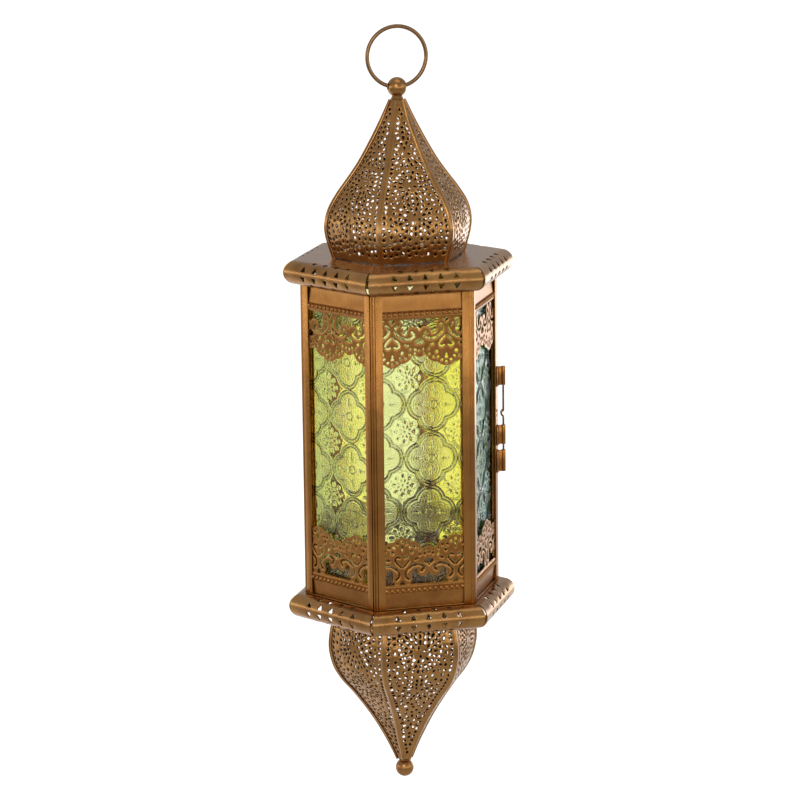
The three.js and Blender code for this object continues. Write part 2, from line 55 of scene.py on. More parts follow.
def openingOf(side):
    # where lace and glass begin and end
    low, high = opening[bodyOf(side)]
    return low + opening["edge"], high - opening["edge"]


def aroundSide(i):
    # turns a piece made on +X to side number i
    return Matrix.Rotation(math.radians(30 + 60 * i), 4, "Z")


# small helpers

def pick(obj):
    if bpy.context.object and bpy.context.object.mode != "OBJECT":
        bpy.ops.object.mode_set(mode="OBJECT")
    bpy.ops.object.select_all(action="DESELECT")
    obj.select_set(True)
    bpy.context.view_layer.objects.active = obj
    return obj


def newPiece(name, points, faces):
    mesh = bpy.data.meshes.new(name)
    mesh.from_pydata([tuple(p) for p in points], [], faces)
    mesh.validate()
    obj = bpy.data.objects.new(name, mesh)
    bpy.context.scene.collection.objects.link(obj)
    return pick(obj)


def modify(obj, kind, **settings):
    pick(obj)
    modifier = obj.modifiers.new(kind.title(), kind)
    for key, value in settings.items():
        setattr(modifier, key, value)
    bpy.ops.object.modifier_apply(modifier=modifier.name)
    return obj


def mergeDoubles(obj, distance=0.001, outward=False):
    pick(obj)
    bpy.ops.object.mode_set(mode="EDIT")
    bpy.ops.mesh.select_all(action="SELECT")
    bpy.ops.mesh.remove_doubles(threshold=distance)
    if outward:
        bpy.ops.mesh.normals_make_consistent(inside=False)
    bpy.ops.object.mode_set(mode="OBJECT")
    return obj


def joinPieces(name, parts):
    pick(parts[0])
    for part in parts[1:]:
        part.select_set(True)
    bpy.ops.object.join()
    parts[0].name = name
    parts[0].data.name = name
    return parts[0]


def settle(obj, smooth=35):
    obj.data.transform(Matrix.Scale(mm, 4) @ Matrix.Translation((0, 0, -lantern["hang"])))
    pick(obj)
    bpy.ops.object.shade_smooth_by_angle(angle=math.radians(smooth))
    return obj


def turnedCopy(obj, name, degrees):
    twin = bpy.data.objects.new(name, obj.data.copy())
    twin.data.name = name
    bpy.context.scene.collection.objects.link(twin)
    twin.data.transform(Matrix.Rotation(math.radians(degrees), 4, "Z"))
    return twin


def dress(obj, body, finish, material, *nodes):
    if len(obj.data.materials) < 2:
        obj.data.materials.clear()
        obj.data.materials.append(material)
    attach(obj, body)
    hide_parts(*nodes)
    return obj


def smoothPath(points, steps=8):
    # a soft curve through all the points
    path = []
    for i in range(len(points) - 1):
        a, b = points[i], points[i + 1]
        before = points[i - 1] if i else [2 * p - q for p, q in zip(a, b)]
        after = points[i + 2] if i + 2 < len(points) else [2 * q - p for p, q in zip(a, b)]
        for k in range(steps):
            t = k / steps
            path.append([0.5 * (2 * p1 + (p2 - p0) * t + (2 * p0 - 5 * p1 + 4 * p2 - p3) * t * t
                                + (3 * p1 - p0 - 3 * p2 + p3) * t ** 3)
                         for p0, p1, p2, p3 in zip(before, a, b, after)])
    return path + [list(points[-1])]


def petal(u, v, turn, length, width, corners=8):
    # a rounded hole, fuller at the end that turn points to
    ring = []
    for i in range(corners):
        a = 2 * math.pi * i / corners
        x = width / 2 * math.cos(a) * (1 + 0.2 * math.sin(a))
        y = length / 2 * math.sin(a)
        ring.append((u + x * math.cos(turn) + y * math.sin(turn),
                     v + y * math.cos(turn) - x * math.sin(turn)))
    return ring


def slotAlong(points, width, steps=5):
    # the outline of a slot that follows a path, with round ends
    path = smoothPath(points, steps)
    left, right = [], []
    for i, (x, y) in enumerate(path):
        before, after = path[max(0, i - 1)], path[min(len(path) - 1, i + 1)]
        dx, dy = after[0] - before[0], after[1] - before[1]
        size = math.hypot(dx, dy) or 1
        left.append((x - dy / size * width / 2, y + dx / size * width / 2))
        right.append((x + dy / size * width / 2, y - dx / size * width / 2))

    def cap(end, other):
        dx, dy = end[0] - other[0], end[1] - other[1]
        size = math.hypot(dx, dy) or 1
        return (end[0] + dx / size * width * 0.42, end[1] + dy / size * width * 0.42)
    return left + [cap(path[-1], path[-2])] + right[::-1] + [cap(path[0], path[1])]


def anticlockwise(loop):
    area = sum(a[0] * b[1] - b[0] * a[1] for a, b in zip(loop, loop[1:] + loop[:1]))
    return loop if area > 0 else loop[::-1]


def cutSheet(name, outline, holes, grid, bend, flip=False):
    # a flat sheet with holes, cut small enough to bend, each point then placed by bend(u, v, onRim)
    points, faces = [], []
    for loop in [outline] + holes:
        loop = anticlockwise(list(loop))
        faces.append(list(range(len(points), len(points) + len(loop))))
        points += [Vector(p) for p in loop]
    rimCount, outlineCount = len(points), len(outline)
    points += [Vector(p) for p in grid]
    flat, _, triangles, sources, _, origins = delaunay_2d_cdt(points, [], faces, 1, 1e-4, True)
    kept = [t for t, origin in zip(triangles, origins) if list(origin) == [0]]  # in no hole
    used = sorted({i for t in kept for i in t})
    place = {old: new for new, old in enumerate(used)}
    onRim = {i: any(outlineCount <= s < rimCount for s in sources[i]) for i in used}
    solid = [bend(flat[i].x, flat[i].y, onRim[i]) for i in used]
    loops = [[place[i] for i in (reversed(t) if flip else t)] for t in kept]
    return newPiece(name, solid, loops)


def roundHoles(holes, distance):
    # one more ring of points about each hole, so that only its edge is pressed in
    points = []
    for hole in holes:
        middle = [sum(p[k] for p in hole) / len(hole) for k in (0, 1)]
        for x, y in hole:
            size = math.hypot(x - middle[0], y - middle[1])
            points.append((x + (x - middle[0]) / size * distance, y + (y - middle[1]) / size * distance))
    return points


def clearOf(points, holes, gap):
    # leaves out the points that lie close to a hole's edge
    cell = 2.0
    taken = {}
    for hole in holes:
        for x, y in hole:
            taken.setdefault((int(x // cell), int(y // cell)), []).append((x, y))
    kept = []
    for x, y in points:
        i, j = int(x // cell), int(y // cell)
        near = [p for a in (i - 1, i, i + 1) for b in (j - 1, j, j + 1) for p in taken.get((a, b), [])]
        if all(math.hypot(x - p[0], y - p[1]) > gap for p in near):
            kept.append((x, y))
    return kept


# materials

def blankMaterial(name):
    material = bpy.data.materials.new(name)
    material.use_nodes = True
    return material, material.node_tree, material.node_tree.nodes["Principled BSDF"]


def addNode(tree, kind, **values):
    node = tree.nodes.new(kind)
    for key, value in values.items():
        if hasattr(node, key):
            setattr(node, key, value)
        else:
            node.inputs[key.replace("_", " ")].default_value = value
    return node


def feed(tree, value, socket):
    # joins an output to the socket, or writes a fixed value into it
    if isinstance(value, bpy.types.NodeSocket):
        tree.links.new(value, socket)
    else:
        socket.default_value = value


def mixColors(tree, factor, first, second, blend="MIX"):
    node = addNode(tree, "ShaderNodeMix", data_type="RGBA", blend_type=blend)
    for value, socket in ((factor, "Factor"), (first, 6), (second, 7)):
        feed(tree, value, node.inputs[socket])
    return node.outputs[2]


def mixShaders(tree, factor, first, second):
    node = addNode(tree, "ShaderNodeMixShader")
    for value, socket in zip((factor, first, second), node.inputs):
        tree.links.new(value, socket)
    return node.outputs["Shader"]


def workOut(tree, operation, first, second):
    node = addNode(tree, "ShaderNodeMath", operation=operation)
    feed(tree, first, node.inputs[0])
    feed(tree, second, node.inputs[1])
    return node.outputs[0]


def noiseOver(tree, place, scale, detail, roughness):
    node = addNode(tree, "ShaderNodeTexNoise", Scale=scale, Detail=detail, Roughness=roughness)
    tree.links.new(place.outputs["Object"], node.inputs["Vector"])
    return node.outputs["Fac"]


def ramp(tree, source, stops):
    node = addNode(tree, "ShaderNodeValToRGB")
    node.color_ramp.elements[0].position, node.color_ramp.elements[0].color = stops[0]
    node.color_ramp.elements[1].position, node.color_ramp.elements[1].color = stops[-1]
    for position, color in stops[1:-1]:
        node.color_ramp.elements.new(position).color = color
    tree.links.new(source, node.inputs["Fac"])
    return node.outputs["Color"]


def varyRoughness(tree, shader, source, low, high):
    spread = addNode(tree, "ShaderNodeMapRange", To_Min=low, To_Max=high)
    tree.links.new(source, spread.inputs["Value"])
    tree.links.new(spread.outputs["Result"], shader.inputs["Roughness"])


def pressBumps(tree, shader, layers):
    # each layer is a height, then its strength and its depth in metres
    normal = None
    for height, (strength, depth) in layers:
        bump = addNode(tree, "ShaderNodeBump", Strength=strength, Distance=depth)
        tree.links.new(height, bump.inputs["Height"])
        if normal is not None:
            tree.links.new(normal, bump.inputs["Normal"])
        normal = bump.outputs["Normal"]
    tree.links.new(normal, shader.inputs["Normal"])


# scale, detail and roughness of each noise, the places of its colours, and the bumps
metalGrain = {
    "insideGrain": (1300.0, 2.0, 0.6), "insideGrainBump": (0.3, 0.00012), "insideShadeStops": (0.32, 0.66),
    "grain": (1500.0, 3.0, 0.7), "grainBump": (0.38, 0.00014),
    "dents": (110.0, 2.0, 0.4), "dentBump": (0.35, 0.0006), "toneStops": (0.30, 0.50, 0.68),
    "edgeWearAndHighlightStops": (0.505, 0.56), "dustStops": (0.32, 0.46), "dustTint": (0.72, 0.68, 0.62, 1),
    "dust": 0.9, "lacquerRoughness": 0.24}


def shadedInnerMetal(name, look):
    # the unlacquered inside of the pierced sheets, coloured near black: painted shade for the dim inside
    # of the lantern
    material, tree, shader = blankMaterial(name)
    place = addNode(tree, "ShaderNodeTexCoord")
    insideShadePatches = noiseOver(tree, place, look["patchScale"], 4.0, 0.6)
    grain = noiseOver(tree, place, *metalGrain["insideGrain"])
    tones = list(zip(metalGrain["insideShadeStops"], (look["shade"], look["light"])))
    tree.links.new(ramp(tree, insideShadePatches, tones), shader.inputs["Base Color"])
    varyRoughness(tree, shader, insideShadePatches, look["roughness"] - 0.06, look["roughness"] + 0.1)
    pressBumps(tree, shader, [(grain, metalGrain["insideGrainBump"])])
    shader.inputs["Metallic"].default_value = look["metallic"]
    return material


def antiqueMetal(name, look):
    material, tree, shader = blankMaterial(name)
    place = addNode(tree, "ShaderNodeTexCoord")
    patches = noiseOver(tree, place, look["patchScale"], 5.0, 0.6)
    grain = noiseOver(tree, place, *metalGrain["grain"])
    dents = noiseOver(tree, place, *metalGrain["dents"])
    tones = zip(metalGrain["toneStops"], (look["shade"], look["middle"], look["light"]))
    tone = ramp(tree, patches, list(tones))
    # convex edges get a lighter colour: partly rubbed brighter metal, partly a painted highlight where
    # edges would catch the light
    shape = addNode(tree, "ShaderNodeNewGeometry")
    edges = ramp(tree, shape.outputs["Pointiness"],
                 list(zip(metalGrain["edgeWearAndHighlightStops"], ((0, 0, 0, 1), (1, 1, 1, 1)))))
    amount = workOut(tree, "MULTIPLY", edges, look["edgeWearAndHighlightAmount"])
    wornAndHighlit = mixColors(tree, amount, tone, look["edgeWearAndHighlight"])
    # dust lies in the grain
    dust = zip(metalGrain["dustStops"], (metalGrain["dustTint"], (1, 1, 1, 1)))
    speckle = ramp(tree, grain, list(dust))
    dusted = mixColors(tree, metalGrain["dust"], wornAndHighlit, speckle, "MULTIPLY")
    tree.links.new(dusted, shader.inputs["Base Color"])
    varyRoughness(tree, shader, patches, look["roughness"] - 0.07, look["roughness"] + 0.10)
    pressBumps(tree, shader, [(dents, metalGrain["dentBump"]), (grain, metalGrain["grainBump"])])
    shader.inputs["Metallic"].default_value = look["metallic"]
    shader.inputs["Coat Weight"].default_value = look["lacquer"]
    shader.inputs["Coat Roughness"].default_value = metalGrain["lacquerRoughness"]
    return material


gold = antiqueMetal("antiqueGold", {
    "patchScale": 42.0, "shade": (0.295, 0.112, 0.019, 1), "middle": (0.370, 0.148, 0.026, 1),
    "light": (0.440, 0.186, 0.037, 1), "edgeWearAndHighlight": (0.58, 0.29, 0.08, 1), "edgeWearAndHighlightAmount": 0.25,
    "roughness": 0.23, "metallic": 0.93, "lacquer": 0.18})
agedGold = antiqueMetal("agedGold", {
    "patchScale": 48.0, "shade": (0.300, 0.128, 0.028, 1), "middle": (0.400, 0.182, 0.043, 1),
    "light": (0.490, 0.240, 0.066, 1), "edgeWearAndHighlight": (0.60, 0.36, 0.13, 1), "edgeWearAndHighlightAmount": 0.22,
    "roughness": 0.23, "metallic": 0.92, "lacquer": 0.42})
laceGold = antiqueMetal("laceGold", {
    "patchScale": 60.0, "shade": (0.290, 0.115, 0.022, 1), "middle": (0.370, 0.152, 0.030, 1),
    "light": (0.440, 0.192, 0.043, 1), "edgeWearAndHighlight": (0.58, 0.30, 0.09, 1), "edgeWearAndHighlightAmount": 0.30,
    "roughness": 0.29, "metallic": 0.92, "lacquer": 0.20})
wireGold = antiqueMetal("wireGold", {
    "patchScale": 80.0, "shade": (0.170, 0.080, 0.026, 1), "middle": (0.225, 0.112, 0.040, 1),
    "light": (0.290, 0.150, 0.058, 1), "edgeWearAndHighlight": (0.50, 0.30, 0.12, 1), "edgeWearAndHighlightAmount": 0.30,
    "roughness": 0.25, "metallic": 0.92, "lacquer": 0.40})
# painted shade: the near-black colour of the inner faces of the panels and trays
inside = shadedInnerMetal("paintedShadeInside", {
    "patchScale": 50.0, "shade": (0.030, 0.017, 0.009, 1), "light": (0.080, 0.045, 0.022, 1),
    "roughness": 0.52, "metallic": 0.5})


glassLook = {
    "cloud": (38.0, 3.0, 0.5), "ripple": (260.0, 2.0, 0.5), "dotScale": 1050.0, "dotRandomness": 0.35,
    "pale": 0.86, "deep": 0.96, "toneStops": (0.34, 0.5, 0.66), "grooveShadeTint": 0.03,
    "rippleBump": (0.20, 0.0006), "dotBump": (0.45, 0.0003), "roughness": (0.02, 0.07), "ior": 1.46}


def embossedGlass(name, tint):
    material, tree, shader = blankMaterial(name)
    place = addNode(tree, "ShaderNodeTexCoord")
    cloud = noiseOver(tree, place, *glassLook["cloud"])
    ripple = noiseOver(tree, place, *glassLook["ripple"])
    dots = addNode(tree, "ShaderNodeTexVoronoi", Scale=glassLook["dotScale"],
                   Randomness=glassLook["dotRandomness"])
    tree.links.new(place.outputs["Object"], dots.inputs["Vector"])
    pale = [1 - (1 - c) * glassLook["pale"] for c in tint]
    deep = [c * glassLook["deep"] for c in tint]
    tones = [(stop, (*shade, 1)) for stop, shade in zip(glassLook["toneStops"], (deep, tint, pale))]
    tone = ramp(tree, cloud, tones)
    # painted shade: the steep sides of the embossing get a darker colour
    grooveShade = addNode(tree, "ShaderNodeAttribute", attribute_name="grooveShade")
    grooveShadeColor = (*[c * glassLook["grooveShadeTint"] for c in tint], 1)
    tree.links.new(mixColors(tree, grooveShade.outputs["Fac"], tone, grooveShadeColor), shader.inputs["Base Color"])
    stipple = addNode(tree, "ShaderNodeAttribute", attribute_name="stipple")
    pricked = workOut(tree, "MULTIPLY", dots.outputs["Distance"], stipple.outputs["Fac"])
    pressBumps(tree, shader, [(ripple, glassLook["rippleBump"]), (pricked, glassLook["dotBump"])])
    varyRoughness(tree, shader, cloud, *glassLook["roughness"])
    shader.inputs["Transmission Weight"].default_value = 1.0
    shader.inputs["IOR"].default_value = glassLook["ior"]
    # lamps reach the inside of the lantern through the panes
    path = addNode(tree, "ShaderNodeLightPath")
    through = addNode(tree, "ShaderNodeBsdfTransparent", Color=(*tint, 1))
    either = mixShaders(tree, path.outputs["Is Shadow Ray"],
                        shader.outputs["BSDF"], through.outputs["BSDF"])
    tree.links.new(either, tree.nodes["Material Output"].inputs["Surface"])
    return material


print("materials ready")


# camera

camera = {"place": (-0.64066, -2.45393, 0.27074), "azimuth": -14.623, "pitch": 12.164, "roll": -0.656,
          "lens": 157.34}
az, pitch, roll = (math.radians(camera[key]) for key in ("azimuth", "pitch", "roll"))
right = Vector((math.cos(az), math.sin(az), 0))
back = Vector((math.sin(az), -math.cos(az), 0))
forward = -back * math.cos(pitch) - Vector((0, 0, math.sin(pitch)))
up = right.cross(forward)
sideways = right * math.cos(roll) + up * math.sin(roll)
upright = up * math.cos(roll) - right * math.sin(roll)
bpy.ops.object.camera_add(location=camera["place"])
eye = bpy.context.object
turn = Matrix((sideways, upright, -forward)).transposed()
eye.rotation_mode = "QUATERNION"
eye.rotation_quaternion = turn.to_quaternion()
eye.data.sensor_width = 36.0
eye.data.lens = camera["lens"]
eye.data.clip_end = 200
bpy.context.scene.camera = eye


# pierced onion panels

dome = {
    "foot": 252.3, "rise": 1, "gap": 0.15, "bow": 0.034,
    "profile": [(0, 49.4), (8, 52), (16.5, 54.4), (25.5, 55), (36.5, 52), (47.5, 45.4), (57.5, 37.8),
                (69.2, 29.4), (84, 20.7), (100, 12.2), (114.2, 5.4)],
    # share of the way up, then radius and number of holes of each ring
    "rosettes": [(0.27, [(3.3, 7), (7.3, 13), (11.4, 20)]), (0.475, [(3.3, 7), (7.3, 13), (11.4, 20)]),
                 (0.69, [(3.1, 6), (7.0, 12), (10.9, 18)])],
    "plainFoot": 6.2, "holeLength": 3.1, "holeWidth": 2.42, "seed": 11}
cone = {
    "foot": -1.2, "rise": -1, "gap": 0.15, "bow": 0.034,
    "profile": [(0, 48), (13, 51.8), (26, 55), (37, 56.6), (46, 56.2), (57, 53.2), (67, 47.4),
                (77.3, 38.8), (90, 29.4), (102.5, 21.2), (117, 13.2), (126.5, 8.6), (133.8, 5.4)],
    "rosettes": [(0.252, [(3.4, 7), (7.5, 13), (11.6, 20), (15.6, 27)]),
                 (0.488, [(3.2, 7), (7.1, 12), (11.1, 19)]),
                 (0.741, [(2.9, 6), (6.6, 11)])],
    "plainFoot": 4.0, "holeLength": 3.15, "holeWidth": 2.5, "seed": 5}
# least distance between holes: in the rosettes, beside the ribs, and in three rounds of filling
holeGap = {"rosette": 3.25, "edge": 3.6, "filling": (4.4, 3.95, 3.7)}
rib = {"width": 4.6, "crown": 1.35, "sink": 0.7, "lip": 0.65}
footTabs = (5, 6, 15, 16, 17, 26, 27)  # the points of the foot, of 31, that stand on the tray
punch = {"dip": 0.30, "around": 0.5, "trayDip": 0.1}


def stations(onion):
    # the soft path of heights and corner radii, the distance run at each point, and the whole length
    path = smoothPath(onion["profile"], 16)
    run, total = [0.0], 0.0
    for a, b in zip(path, path[1:]):
        total += math.hypot(b[0] - a[0], b[1] - a[1])
        run.append(total)
    return path, run, total


def stationAt(track, s):
    # height, corner radius and direction at a distance along the panel
    path, run, total = track
    s = min(max(s, 0), total)
    low, high = 0, len(run) - 1
    while high - low > 1:
        middle = (low + high) // 2
        low, high = (middle, high) if run[middle] <= s else (low, middle)
    t = (s - run[low]) / (run[high] - run[low])
    a, b = path[low], path[high]
    size = math.hypot(b[0] - a[0], b[1] - a[1])
    return a[0] + (b[0] - a[0]) * t, a[1] + (b[1] - a[1]) * t, (b[0] - a[0]) / size, (b[1] - a[1]) / size


def onionHoles(onion, track, halfWidth):
    rng = random.Random(onion["seed"])
    total = track[2]
    length, width = onion["holeLength"], onion["holeWidth"]
    placed, cells = [], {}

    def fits(u, s, gap):
        i, j = int(u // 4), int(s // 4)
        near = [p for a in (i - 1, i, i + 1) for b in (j - 1, j, j + 1) for p in cells.get((a, b), [])]
        return all(math.hypot(u - p[0], s - p[1]) > gap for p in near)

    def place(u, s, turn, long, wide):
        if s < onion["plainFoot"] or s > total - 4.5 or abs(u) > halfWidth(s) - 3.3:
            return
        cells.setdefault((int(u // 4), int(s // 4)), []).append((u, s))
        placed.append(petal(u, s, turn, long, wide))

    for share, rings in onion["rosettes"]:
        for k, (radius, count) in enumerate(rings):
            for i in range(count):
                turn = 2 * math.pi * (i + 0.5 * (k % 2)) / count
                u, s = radius * math.sin(turn), share * total + radius * math.cos(turn)
                if fits(u, s, holeGap["rosette"]):
                    place(u, s, turn, length * (1.12 if k else 0.95), width * (0.84 if k else 0.76))
    # a row beside each rib and one above the foot, then whatever room is left
    s = onion["plainFoot"] + 0.6
    while s < total - 5:
        for side in (-1, 1):
            u = side * (halfWidth(s) - 3.7)
            if fits(u, s, holeGap["edge"]):
                place(u, s, rng.uniform(-0.4, 0.4), length * 0.86, width * rng.uniform(0.85, 1.05))
        s += 0.7
    spots = [(u / 2, s / 2) for s in range(12, int(2 * total)) for u in range(-70, 70)]
    spots = [p for p in spots if all(math.hypot(p[0], p[1] - share * total) > rings[-1][0] + 1.5
                                     for share, rings in onion["rosettes"])]
    for gap in holeGap["filling"]:
        rng.shuffle(spots)
        for u, s in spots:
            if abs(u) < halfWidth(s) - 3 and fits(u, s, gap):
                place(u, s, rng.uniform(0, math.pi), length * rng.uniform(0.74, 0.92),
                      width * rng.uniform(0.86, 1.06))
    return placed


def onionPanel(name, onion):
    track = stations(onion)
    total = track[2]

    def halfWidth(s):
        return stationAt(track, s)[1] * sin30 - onion["gap"] / cos30

    def bend(u, s, onRim):
        h, r, dh, dr = stationAt(track, s)
        across = u / halfWidth(s)
        x = r * cos30 + onion["bow"] * r * (1 - across * across)
        dip = punch["dip"] if onRim else 0
        return (x - dip * dh, u, onion["foot"] + onion["rise"] * (h + dip * dr))

    rows = [total * i / 56 for i in range(57)]
    foot = [(halfWidth(0) * (i / 16 - 1), 0 if i in footTabs else 0.7) for i in range(1, 32)]
    outline = foot + [(halfWidth(s), s) for s in rows] + [(-halfWidth(s), s) for s in reversed(rows)]
    holes = onionHoles(onion, track, halfWidth)
    grid = [(halfWidth(s) * k / 8, s) for s in rows[1:-1] for k in range(-7, 8)]
    grid = clearOf(grid + roundHoles(holes, punch["around"]), holes, 0.45)
    panel = cutSheet(name, outline, holes, grid, bend, flip=onion["rise"] < 0)
    panel.data.materials.append(agedGold)
    panel.data.materials.append(inside)
    # the inner faces take the second, near-black material: painted shade
    modify(panel, "SOLIDIFY", thickness=lantern["sheet"], offset=-1, material_offset=1)

    # the rounded rib over the seam with the next panel
    points, faces, count = [], [], 9
    fall = tan30 - 4 * onion["bow"]
    places = [total * i / 70 for i in range(71)]
    for s in places:
        h, r, dh, dr = stationAt(track, s)
        shrink = min(1, r / 14)
        for k in range(count):
            a = math.pi * k / (count - 1)
            along = -rib["width"] / 2 * math.cos(a) * shrink
            lift = rib["crown"] * math.sin(a) ** 0.8 - 0.15
            if k in (0, count - 1):
                lift = -rib["sink"] if k == 0 else rib["lip"]  # the free edge stands off the next panel
            if k == count - 2:
                lift = rib["lip"] + 0.3
            out = r - abs(along) * fall + lift * dh
            points.append((out * cos30 - along * sin30, out * sin30 + along * cos30,
                           onion["foot"] + onion["rise"] * (h - lift * dr)))
    for i in range(len(places) - 1):
        for k in range(count):
            a, b = i * count + k, i * count + (k + 1) % count
            faces.append([a, b, b + count, a + count])
    faces += [list(range(count)), list(range((len(places) - 1) * count, len(places) * count))]
    strip = newPiece(name + "_rib", points, faces)
    strip.data.materials.append(agedGold)
    mergeDoubles(strip, 0.0005, outward=True)
    return settle(joinPieces(name, [panel, strip]))


for label, onion in (("dome", dome), ("cone", cone)):
    model = onionPanel(label + "_model", onion)
    for i, side in enumerate(sideNames):
        panel = turnedCopy(model, f"{label}_{side}", 30 + 60 * i)
        dress(panel, "lantern", "gold", agedGold, f"{label}_panel_{side}")
    print(label, "panels:", len(model.data.polygons), "faces each")
    bpy.data.objects.remove(model)


# trays with rolled and pierced edges

tray = {
    "thick": 0.9, "roll": 8.8, "reach": 76.19, "lastAngle": -100, "slitRoot": 0.815, "slitAngle": 6.5,
    # angle round the roll (90 is its top), count, and whether the points look up
    "rows": [(73, 4, False), (35, 5, True), (-21, 5, False), (-57, 4, True)],
    "triangle": (5.1, 4.9), "pitch": 11.6}


def rolledTray(name, top, mouth):
    centreX, centreZ = tray["reach"] - tray["roll"], top - tray["roll"]
    flatLength = centreX - mouth
    arcLength = tray["roll"] * math.radians(90 - tray["lastAngle"])
    slitAt = centreX / cos30 - tray["slitRoot"]
    slitX, slitY = slitAt * cos30, slitAt * sin30
    slope = math.tan(math.radians(30 - tray["slitAngle"]))

    def section(v):
        if v <= flatLength:
            return mouth + v, top
        angle = math.pi / 2 - (v - flatLength) / tray["roll"]
        return centreX + tray["roll"] * math.cos(angle), centreZ + tray["roll"] * math.sin(angle)

    def halfWidth(v):
        x = section(v)[0]
        return x * tan30 if x <= slitX else slitY + (x - slitX) * slope

    def bend(u, v, onRim):
        x, z = section(v)
        dip = punch["trayDip"] if onRim else 0
        return (x - dip * (x - centreX) / tray["roll"], u, z - dip * (z - centreZ) / tray["roll"])

    flatStops = [flatLength * i / 8 for i in range(9)]
    stops = flatStops + [flatLength + arcLength * i / 38 for i in range(1, 39)]
    start = [(-halfWidth(0), 0.0)] if mouth else []
    outline = [(halfWidth(v), v) for v in stops] + [(-halfWidth(v), v) for v in reversed(stops[1:])]
    outline += start
    holes = []
    wide, tall = tray["triangle"]
    for angle, count, upward in tray["rows"]:
        v = flatLength + tray["roll"] * math.radians(90 - angle)
        tip = -1 if upward else 1
        for i in range(count):
            u = (i - (count - 1) / 2) * tray["pitch"]
            corners = [(-wide / 2, -tip * tall / 2), (wide / 2, -tip * tall / 2), (0, tip * tall / 2)]
            ring = []
            for k, (x, y) in enumerate(corners):  # each corner a little rounded
                for other in (corners[k - 1], corners[(k + 1) % 3]):
                    ring.append((u + x + (other[0] - x) * 0.13, v + y + (other[1] - y) * 0.13))
            holes.append(ring)
    grid = [(halfWidth(v) * k / 9, v) for v in stops[1:-1] for k in range(-8, 9)]
    grid = clearOf(grid + roundHoles(holes, 0.6), holes, 0.55)
    wedge = cutSheet(name, outline, holes, grid, bend, flip=True)
    wedges = [turnedCopy(wedge, f"{name}_{i}", 30 + 60 * i) for i in range(6)]
    bpy.data.objects.remove(wedge)
    whole = mergeDoubles(joinPieces(name, wedges), 0.01)
    whole.data.materials.append(agedGold)
    whole.data.materials.append(inside)
    # the inner faces take the second, near-black material: painted shade
    modify(whole, "SOLIDIFY", thickness=tray["thick"], offset=-1, material_offset=1)
    return settle(whole, 32)


roof = rolledTray("tray_roof", lantern["roofTop"], (49.4 - 5.4) * cos30)
dress(roof, "lantern", "gold", agedGold, "roof_tray")
base = rolledTray("tray_base", 0.0, 0.0)
dress(base, "lantern", "gold", agedGold, "base_tray")
print("trays done")


# folded frames, posts and small plates: the frame's own shapes with their edges eased

def easedCopy(name, node, bevel, segments=2, limit=28):
    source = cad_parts[node]
    obj = bpy.data.objects.new(name, source.data.copy())
    obj.data.name = name
    bpy.context.scene.collection.objects.link(obj)
    mergeDoubles(obj, 0.00001)
    bpy.ops.object.mode_set(mode="EDIT")
    bpy.ops.mesh.select_all(action="SELECT")
    bpy.ops.mesh.dissolve_limited(angle_limit=math.radians(1.5))
    bpy.ops.object.mode_set(mode="OBJECT")
    modify(obj, "BEVEL", width=bevel * mm, segments=segments, limit_method="ANGLE",
           angle_limit=math.radians(limit), use_clamp_overlap=True)
    pick(obj)
    bpy.ops.object.shade_smooth_by_angle(angle=math.radians(50))
    return obj


for side in sideNames:
    node = "door_frame" if side == doorSide else "side_frame_" + side
    dress(easedCopy("frame_" + side, node, 0.28), bodyOf(side), "gold", gold, node)
for corner in cornerNames:
    node = "corner_post_" + corner
    dress(easedCopy("post_" + corner, node, 0.2), "lantern", "gold", gold, node)
print("frames and posts done")


# lace borders: a rail, a row of beads and a pierced scalloped lace

